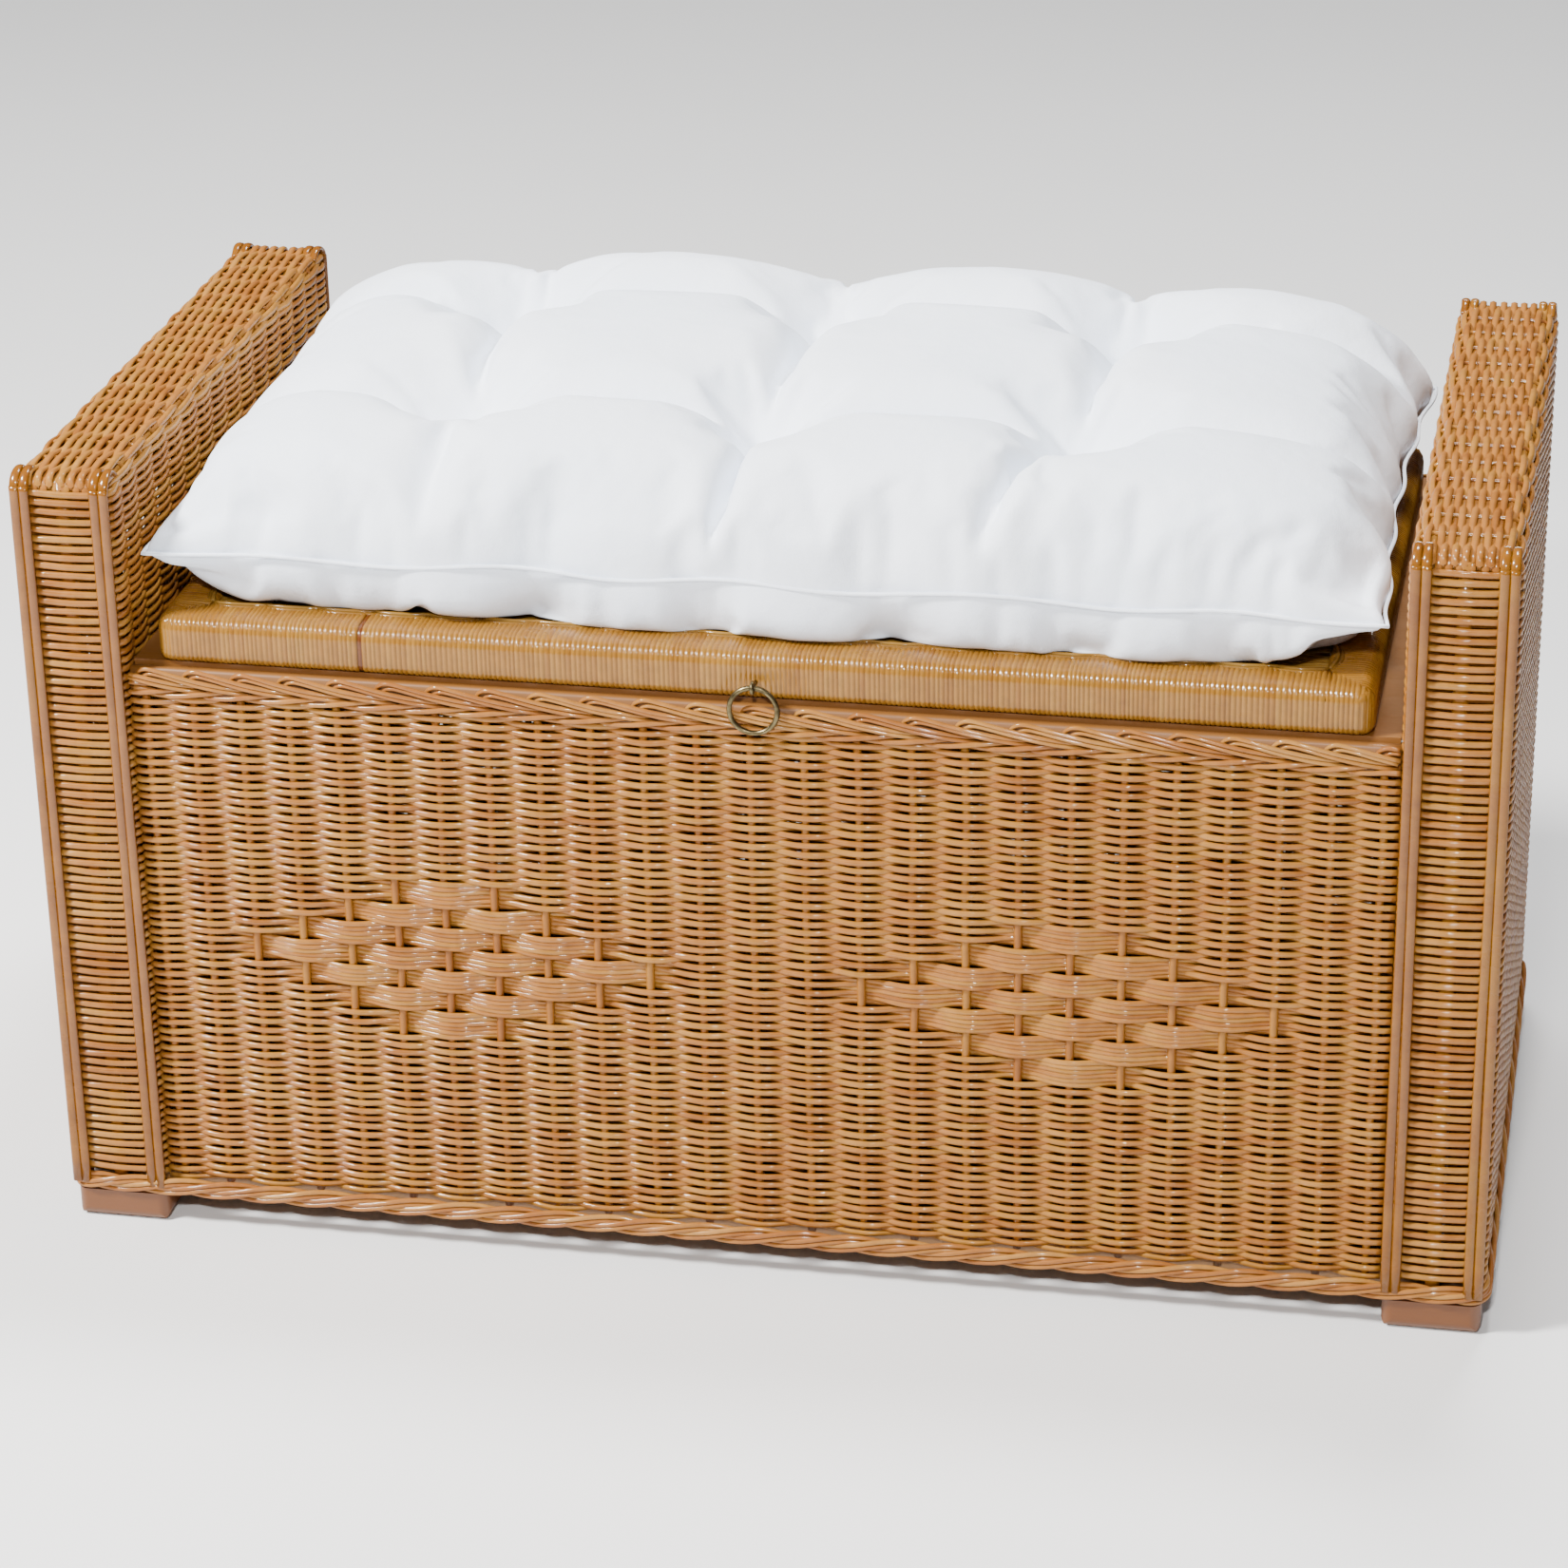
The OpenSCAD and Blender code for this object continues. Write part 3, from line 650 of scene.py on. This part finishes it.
def arm_top(side, label):
    """Rows along the top of one tower, whose ends fold down over the front and the rear edge."""
    start, stop = arm_rise + 1.2, arm_rise + 2 * arm_arc + arm_flat - 1.2
    rows = round((stop - start) / (ROW + 0.25))
    distance = np.linspace(start, stop, rows)
    stations = np.linspace(cover_low[1] - 3, cover_high[1] + 3, ARM_GAPS + 1)
    along, place, out = weave(stations, distance, plain(rows, len(stations)), 6, 1.7, 0.0)
    inside = abs(along) < cover_high[1] - 1
    along, place, out = along[inside], place[:, inside], out[:, inside]
    place = place + ripple([(0.5, 120, 30), (0.3, 47, 14)])(along, place)
    for edge, push in ((arm_rise + arm_arc + 4, 0.6), (arm_rise + arm_arc + arm_flat - 4, -0.6)):
        place = place + push * np.exp(-((distance - edge) / 2.0) ** 2)[:, None]
    x, z, nx, nz = over_the_arm(place)
    body = np.stack([x + nx * out, np.broadcast_to(along, x.shape), z + nz * out], -1)
    bend = 6.0
    ends = []
    for tip, edge in ((0, -1), (-1, 1)):
        angle = np.radians([30, 60, 90])
        base, direction = body[:, tip], np.stack([nx[:, tip], 0 * nx[:, tip], nz[:, tip]], -1)
        curl = [base + np.array([0, edge, 0]) * bend * math.sin(a) - direction * bend * (1 - math.cos(a))
                for a in angle]
        curl.append(curl[-1] - direction * 3.5)
        ends.append(np.stack(curl if edge > 0 else curl[::-1], 1))
    paths = np.concatenate([ends[0], body, ends[1]], 1)
    strands = Strands()
    outward = np.stack([nx, 0 * nx, nz], -1)
    outward = np.concatenate([outward[:, :1].repeat(4, 1), outward, outward[:, -1:].repeat(4, 1)], 1)
    strands.tubes(mirrored(paths, side), STRAND_HIGH + 0.2, up=mirrored(outward, side) + (0, 0.01, 0),
                  lift=STRAND_DEPTH, tones=chance.beta(2.2, 2.2, rows))
    strands.piece(f"{label}_arm_top_weave", weave_cane, "trunk", "woven_rattan", [f"{label}_arm_cover"])


def arm_stakes(side, label):
    """Stakes that run up the outside of a tower, over its top and down its inside."""
    top = 2 * arm_arc + arm_flat
    distance = np.concatenate([np.linspace(0, arm_rise, 12), arm_rise + np.linspace(0, top, 22)[1:-1],
                               arm_rise + top + np.linspace(0, arm_rise - 8, 12)])
    x, z, _, _ = over_the_arm(distance)
    paths = np.array([np.stack([x, np.full_like(x, y), z], -1) for y in arm_stake_y])
    strands = Strands()
    strands.tubes(mirrored(paths, side), STAKE_R - 1.0, up=(0, 1, 0), sides=8)
    strands.piece(f"{label}_arm_stakes_rattan", stake_cane, "trunk", "rattan_core", [f"{label}_arm_stakes"])


def face_stakes():
    """The flat middle stake behind the weave of each narrow face."""
    strands = Strands()
    z = np.linspace(cover_low[2] - 4, arm_top_z - 3, 12)
    for side in (-1, 1):
        for end in (-1, 1):
            path = np.stack([np.full_like(z, side * arm_mid_x), np.full_like(z, end * arm_face_y), z], -1)
            strands.tubes(path, 4.6, up=(0, 1, 0), lift=1.5, sides=8)
    strands.piece("arm_face_stakes_rattan", stake_cane, "trunk", "rattan_core", ["arm_face_stakes"])


def corner_bands(side, end, label):
    """Two pairs of glossy split canes up one narrow face, their tops bent back over the arm."""
    half_width, half_thick = 3.1, 1.6
    face = arm_face_y + ARM_WALL + 1.3
    top = arm_top_z + 2.4
    slim = 1 - 0.25 * np.clip((np.linspace(0, 1, 60) - 0.6) / 0.4, 0, 1)
    strands = Strands()
    for from_edge in (5.3, 11.2):
        for x in (cover_low[0] + from_edge, cover_high[0] - from_edge):
            lean = chance.uniform(-0.4, 0.4)
            path = smooth_path([(x, -face, border_low[2] + 7), (x + lean, -face, 150),
                                (x - lean, -face, 300), (x, -face, top - 26), (x, -face + 0.6, top - 10),
                                (x, -face + 3.6, top - 3.2), (x, -face + 9, top - 0.1),
                                (x, -face + 15, top - 0.3), (x, -face + 22, top - 5)], 60)
            placed = mirrored(path, side, -end)
            strands.tubes(placed, half_width * slim, up=(0, end, 0.2), lift=half_thick, sides=10)
    strands.piece(f"{label}_bands_cane", band_cane, "trunk", "split_cane", [f"{label}_bands"])


# ---- lid ----

def wrapped_profile(depth, height, radius, low_radius):
    """Points and outward directions round a rail's section: y goes back from its outer face, z goes up."""
    points, normals = [], []
    corners = [(radius, height - radius, radius, 180, 90), (depth - 2, height - 2, 2, 90, 0),
               (depth - 2, 2, 2, 0, -90), (low_radius, low_radius, low_radius, -90, -180)]
    for y, z, r, start, stop in corners:
        for angle in np.radians(np.linspace(start, stop, 5 if r > 2 else 2)):
            normals.append((math.cos(angle), math.sin(angle)))
            points.append((y + r * math.cos(angle), z + r * math.sin(angle)))
    face_z = np.linspace(low_radius, height - radius, 4)[1:-1]
    points += [(0, z) for z in face_z]
    normals += [(-1, 0) for _ in face_z]
    return np.array(points), unit(np.array(normals, float))


def wrapped_rail(name, cad_node, length_half, depth, z_low, z_high, to_world, dark_at=None):
    """A lid rail wrapped in flat cane, with its ends mitred into the rails beside it."""
    corner_r, edge_r, low_r = 12.0, 9.0, 5.5
    section, normals = wrapped_profile(depth, z_high - z_low, edge_r, low_r)
    strips = []
    x = -length_half
    while x < length_half - 2:
        width = chance.uniform(2.4, 3.6)
        strips.append((x, min(x + width, length_half)))
        x += width
    grid, tones = [], []
    for begin, stop in strips:
        # The strip at dark_at is coloured darker than the rest and set 0.7 mm lower.
        darker_strip = dark_at is not None and begin <= dark_at < stop
        tone = -0.3 if darker_strip else chance.uniform(0.3, 1.0)
        for share, out in ((0.04, -0.30), (0.22, 0.12), (0.5, 0.25), (0.78, 0.12), (0.96, -0.30)):
            at = begin + (stop - begin) * share
            over = max(abs(at) - (length_half - corner_r), 0)
            set_back = corner_r - math.sqrt(max(corner_r ** 2 - over ** 2, 0))
            inward = np.clip(abs(at) - (length_half - section[:, 0]) + 0.3, 0, 1.5)
            y = set_back + section[:, 0] * (1 - set_back / depth)
            sink = edge_r - math.sqrt(max(edge_r ** 2 - max(edge_r - length_half + abs(at), 0) ** 2, 0))
            z = np.clip(section[:, 1], 0.5 * sink, z_high - z_low - sink)
            place = np.stack([np.full(len(section), at), y, z_low + z], -1)
            offset = out - inward - (0.7 if darker_strip else 0.0)
            place[:, 1] += normals[:, 0] * offset
            place[:, 2] += normals[:, 1] * offset
            grid.append(place)
            tones.append(np.full(len(section), tone))
    grid, tones = np.array(grid), np.array(tones)
    strands = Strands()
    strands.sheet(to_world(grid), tones)
    strands.piece(name, wrap_cane, "lid", "wrapped_cane", [cad_node])


def wrapped_rails():
    """The lid's four rails, each built along X and then turned into its place."""
    x_half = lid_front_high[0]
    front_y, back_y = lid_front_low[1], lid_rear_high[1]
    middle_y = (front_y + back_y) / 2
    depth = lid_front_high[1] - lid_front_low[1]
    z_low, z_high = lid_front_low[2] + 0.4, lid_front_high[2] - 0.2

    def front(g):
        return np.stack([g[..., 0], front_y + 0.4 + g[..., 1], g[..., 2]], -1)

    def rear(g):
        return np.stack([-g[..., 0], back_y - 0.4 - g[..., 1], g[..., 2]], -1)

    def right(g):
        return np.stack([x_half - 0.4 - g[..., 1], middle_y + g[..., 0], g[..., 2]], -1)

    def left(g):
        return np.stack([-x_half + 0.4 + g[..., 1], middle_y - g[..., 0], g[..., 2]], -1)

    y_half = (back_y - front_y) / 2
    for name, node, half, place in (("lid_front_wrap", "lid_front_rail", x_half, front),
                                    ("lid_rear_wrap", "lid_rear_rail", x_half, rear),
                                    ("lid_right_wrap", "lid_right_rail", y_half, right),
                                    ("lid_left_wrap", "lid_left_rail", y_half, left)):
        dark = DARK_STRIP_X if place is front else None
        wrapped_rail(name, node, half - 0.4, depth, z_low, z_high, place, dark)


def looped_edges(strands, low, high, loops):
    """Two strands in loops along each edge of the reed panel, laid on the rails."""
    top = lid_front_high[2] - 0.4
    for axis in (0, 1):
        along = np.linspace(low[axis], high[axis], loops[axis] * 10 + 1)
        share = (along - low[axis]) / (high[axis] - low[axis])
        swing = abs(np.sin(math.pi * loops[axis] * share))
        for edge, sign in ((low[1 - axis], -1), (high[1 - axis], 1)):
            for n in range(2):
                aside = edge + sign * (1.0 + 2.6 * n + 3.2 * swing)
                rise = top - 0.9 * n + 0.8 * swing
                loop = [aside, along, rise] if axis else [along, aside, rise]
                strands.tubes(np.stack(loop, -1), 1.5, lift=1.2)


def lid_panel():
    """Bundles of five reeds over and under pairs of flat crosspieces, with looped edges on the rails."""
    reed, bundle, gaps = 3.2, 5, 20
    low, high = lid_weave_low, lid_weave_high
    stations = np.linspace(low[0], high[0], gaps + 1)
    rows = round((high[1] - low[1]) / reed) - 1
    places = np.linspace(low[1] + reed / 2, high[1] - reed / 2, rows)
    over = plain(rows // bundle + 1, gaps + 1).repeat(bundle, axis=0)[:rows]
    along, place, out = weave(stations, places, over, 5, 1.25, 0.0)
    place = place + ripple([(0.5, 160, 40), (0.3, 60, 17)])(along, place)
    middle_z = high[2] - 3.4
    paths = np.stack([np.broadcast_to(along, place.shape), place, middle_z + out], -1)
    strands = Strands()
    strands.tubes(paths, 1.9, lift=1.2, tones=chance.beta(2, 2, rows))
    y = np.linspace(low[1], high[1], 40)
    for x in stations[1:-1]:
        for shift in (-2.6, 2.6):
            strands.tubes(np.stack([np.full_like(y, x + shift), y, np.full_like(y, middle_z)], -1),
                          2.4, lift=1.3)
    looped_edges(strands, low, high, (gaps, gaps // 2))
    strands.piece("lid_reed_weave", reed_cane, "lid", "lid_rattan", ["lid_weave"])


# ---- cushion ----

FRONT_TUFTS = [(-206.0, -67.0), (-20.0, -72.0), (170.0, -68.0)]
REAR_TUFTS = [(-215.0, 103.0), (-14.0, 110.0), (181.0, 103.0)]
TUFTS = FRONT_TUFTS + REAR_TUFTS
SEAM_Z = 453.0


def creases():
    """Valleys between the tufts and out to the seams: two ends, the share of height lost at each, width."""
    rows = []
    for tufts, lost in ((FRONT_TUFTS, 0.36), (REAR_TUFTS, 0.3)):
        line = [(cushion_low[0], tufts[0][1] + 4), *tufts, (cushion_high[0], tufts[-1][1] + 4)]
        for n, (a, b) in enumerate(zip(line, line[1:])):
            rows.append((a, b, lost if n else 0.1, lost if n < len(line) - 2 else 0.1, 17.0))
    for front, rear in zip(FRONT_TUFTS, REAR_TUFTS):
        rows.append((front, rear, 0.36, 0.36, 15.0))
        rows.append((rear, (rear[0], cushion_high[1]), 0.24, 0.08, 10.0))
    rows.append((FRONT_TUFTS[0], (-200.0, cushion_low[1]), 0.24, 0.16, 15.0))
    rows.append((FRONT_TUFTS[1], (-23.0, cushion_low[1]), 0.52, 0.42, 8.0))
    rows.append((FRONT_TUFTS[2], (151.0, -125.0), 0.42, 0.38, 8.0))
    rows.append(((151.0, -125.0), (133.0, -192.0), 0.38, 0.26, 9.0))
    return rows


def cushion_heights(x, y, half_x, half_y, centre_y):
    """The cushion's top and underside before the cloth settles; x and y from the cushion's middle."""
    steep = np.where(y < 0, 5, 10)
    crown = ((1 - abs(x / half_x) ** 5) * (1 - abs(y / half_y) ** steep)).clip(0) ** 0.5
    top = (67 + 8 * y / half_y) * crown
    place = np.stack([x, y + centre_y], -1)
    pull = np.zeros_like(x)
    for a, b, lost_a, lost_b, width in creases():
        a, b = np.array(a), np.array(b)
        share = np.clip((place - a) @ (b - a) / ((b - a) @ (b - a)), 0, 1)
        away = np.linalg.norm(place - a - share[..., None] * (b - a), axis=-1)
        pull = np.maximum(pull, (lost_a + (lost_b - lost_a) * share) * np.exp(-(away / width) ** 1.4))
    for tuft in TUFTS:
        away = np.linalg.norm(place - np.array(tuft), axis=-1)
        pull = np.maximum(pull, 0.7 * np.exp(-(away / 34) ** 1.3))
    under = (SEAM_Z - cushion_low[2]) * np.minimum(1, 1.5 * crown)
    return SEAM_Z + top * (1 - pull), SEAM_Z - under


def cushion_mesh(step):
    """The unfilled cover as one closed mesh, and the point numbers along its seam."""
    half_x, half_y = (cushion_high[0] - cushion_low[0]) / 2, (cushion_high[1] - cushion_low[1]) / 2
    centre_y = (cushion_high[1] + cushion_low[1]) / 2
    nx, ny = round(2 * half_x / step), round(2 * half_y / step)
    a, b = np.meshgrid(np.linspace(-1, 1, nx + 1), np.linspace(-1, 1, ny + 1), indexing="ij")
    pinch_x, pinch_y = 9.0, 6.0
    scallop = 1.5 * np.sin(half_x * a / 17) + 1.2 * np.sin(half_x * a / 41 + 1)
    x = half_x * a - pinch_x * a * (1 - b ** 2) * abs(a) ** 3 + 1.6 * np.sin(half_y * b / 13) * abs(a) ** 6
    y = half_y * b - (pinch_y * b + scallop) * (1 - a ** 4) * abs(b) ** 3
    top, under = cushion_heights(half_x * a, half_y * b, half_x, half_y, centre_y)
    wave = 2.0 * np.sin(half_x * a / 23 + 2) * abs(b) ** 8 * (1 - a ** 8)
    upper = np.stack([x, centre_y + y, top + wave], -1)
    lower = np.stack([x, centre_y + y, under + wave], -1)
    index = np.arange((nx + 1) * (ny + 1)).reshape(nx + 1, ny + 1)
    low_index = index + index.size
    for edge in (np.s_[0, :], np.s_[-1, :], np.s_[:, 0], np.s_[:, -1]):
        low_index[edge] = index[edge]
    points = np.concatenate([upper.reshape(-1, 3), lower.reshape(-1, 3)])
    quads = np.concatenate([
        np.stack([i[:-1, :-1], i[1:, :-1], i[1:, 1:], i[:-1, 1:]], -1).reshape(-1, 4)[:, ::turn]
        for i, turn in ((index, 1), (low_index, -1))])
    used, back = np.unique(quads, return_inverse=True)
    quads = back.reshape(-1, 4)
    points = points[used]
    edge = np.concatenate([index[:, 0], index[-1, 1:], index[-2::-1, -1], index[0, -2:0:-1]])
    mesh = bpy.data.meshes.new("cushion_cloth")
    mesh.from_pydata((points * MM).tolist(), [], quads.tolist())
    mesh.shade_smooth()
    return mesh, np.searchsorted(used, edge)


def settle_cloth(piece, rest, seam, slack, frames):
    """Fills the cover with air while its tufts and seam hold, and returns where its points come to rest."""
    tied = np.zeros(len(rest), bool)
    tied[seam] = True
    for tx, ty in TUFTS:
        tied |= np.hypot(rest[:, 0] - tx, rest[:, 1] - ty) < 8
    group = piece.vertex_groups.new(name="tied")
    group.add(np.nonzero(tied)[0].tolist(), 1.0, "REPLACE")
    cloth = piece.modifiers.new("cloth", "CLOTH")
    settings = cloth.settings
    settings.quality = 6
    settings.mass = 0.25
    settings.tension_stiffness = 12
    settings.compression_stiffness = 12
    settings.shear_stiffness = 4
    settings.bending_stiffness = 0.08
    settings.shrink_min = -slack
    settings.use_pressure = True
    settings.uniform_pressure_force = 3.6
    settings.vertex_group_mass = "tied"
    settings.effector_weights.gravity = 0
    cloth.collision_settings.use_collision = False
    cloth.collision_settings.use_self_collision = False
    scene = bpy.context.scene
    cloth.point_cache.frame_start, cloth.point_cache.frame_end = 1, frames
    for number in range(1, frames + 1):
        scene.frame_set(number)
    shape = piece.evaluated_get(bpy.context.evaluated_depsgraph_get())
    moved = np.zeros(len(rest) * 3, np.float32)
    shape.data.vertices.foreach_get("co", moved)
    piece.modifiers.remove(cloth)
    scene.frame_set(1)
    return moved.reshape(-1, 3).astype(float) / MM


def make_cushion():
    """The cover, filled and settled, with a piped seam round it."""
    step = 5.5
    mesh, edge = cushion_mesh(step)
    rest = np.array([v.co for v in mesh.vertices], float) / MM
    piece = bpy.data.objects.new("tufted_cushion", mesh)
    bpy.context.scene.collection.objects.link(piece)
    mesh.materials.append(cotton)
    moved = settle_cloth(piece, rest, edge, 0.085, 24)
    travel = moved - rest
    reach = np.linalg.norm(travel, axis=1, keepdims=True)
    most = 14.0
    rest = rest + travel * np.minimum(1, most / np.maximum(reach, 1e-6))
    rest[:, 2] = np.maximum(rest[:, 2], cushion_low[2] + 0.2)
    mesh.vertices.foreach_set("co", (rest * MM).astype(np.float32).ravel())
    mesh.update()
    smooth = piece.modifiers.new("smooth", "SUBSURF")
    smooth.levels = smooth.render_levels = 1
    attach(piece, "seat_cushion")
    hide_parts("cushion")
    seam = Strands()
    seam.tubes(rest[edge], 1.3, closed=True, tones=0.5)
    seam.piece("cushion_seam", cotton, "seat_cushion", "white_cotton")


# ---- CAD nodes that stay, with their finishes ----

def dress_frame():
    finishes = {
        pole_cane: ("left_posts", "right_posts", "left_arm_rails", "right_arm_rails", "left_bottom_rails",
                    "right_bottom_rails", "front_bottom_rail", "back_bottom_rail", "base_crossbars"),
        pale_wood: ("base_board", "front_top_rail", "back_top_rail", "left_ledge", "right_ledge",
                    "lid_battens"),
        foot_wood: ("front_left_foot", "front_right_foot", "rear_left_foot", "rear_right_foot"),
        brass: ("lower_hinge_leaves", "upper_hinge_leaves", "lower_hinge_screws", "upper_hinge_screws",
                "screw_eye", "pull_ring"),
        steel: ("frame_screws", "foot_screws", "hinge_pins"),
    }
    for material, names in finishes.items():
        for name in names:
            nodes[name].data.materials.clear()
            nodes[name].data.materials.append(material)


# ---- stage ----

def area_light(name, place, target, size, power, colour):
    data = bpy.data.lights.new(name, "AREA")
    data.shape = "DISK"
    data.size = size
    data.energy = power
    data.color = colour
    light = bpy.data.objects.new(name, data)
    place, target = Vector(place), Vector(target)
    light.location = place
    light.rotation_mode = "QUATERNION"
    light.rotation_quaternion = (target - place).to_track_quat("-Z", "Y")
    bpy.context.scene.collection.objects.link(light)


def make_stage():
    mesh = bpy.data.meshes.new("floor")
    half = 40.0
    corners = [(-half, -half, 0), (half, -half, 0), (half, half, 0), (-half, half, 0)]
    mesh.from_pydata(corners, [], [(0, 1, 2, 3)])
    floor = bpy.data.objects.new("floor", mesh)
    s = Shader("floor", Roughness=0.9)
    s.link(s.ramp(s.spread(s.noise(2.0), 0.0, 1.0), ((0.78, 0.78, 0.78), (0.8, 0.8, 0.8))), "Base Color")
    mesh.materials.append(s.material)
    bpy.context.scene.collection.objects.link(floor)
    world = bpy.data.worlds.new("world")
    world.use_nodes = True
    sky = world.node_tree.nodes["Background"]
    sky.inputs["Color"].default_value = (0.95, 0.97, 1.0, 1)
    sky.inputs["Strength"].default_value = 0.22
    bpy.context.scene.world = world
    area_light("key", (-2.3, -1.5, 2.8), (0, 0, 0.3), 0.6, 400, (1.0, 0.985, 0.96))
    area_light("front", (0.35, -2.9, 2.3), (0, 0, 0.3), 0.2, 95, (1.0, 0.99, 0.98))
    area_light("top", (0.4, 0.9, 3.2), (0, 0, 0.4), 0.8, 125, (1.0, 1.0, 1.0))


# ---- build ----

long_panel("front", "front_panel", "front_stakes", -1, 8, 3.0, 2.08, True)
long_panel("back", "back_panel", "back_stakes", 1, 5, 1.9, 2.3, False)
rim_braid("front", "front_rim_border", -1)
rim_braid("back", "back_rim_border", 1)
bottom_rope()
for arm_side, arm_label in ((-1, "left"), (1, "right")):
    arm_sides(arm_side, arm_label)
    arm_top(arm_side, arm_label)
    arm_stakes(arm_side, arm_label)
    corner_bands(arm_side, -1, f"{arm_label}_front")
    corner_bands(arm_side, 1, f"{arm_label}_rear")
face_stakes()
wrapped_rails()
lid_panel()
make_cushion()
dress_frame()
make_stage()
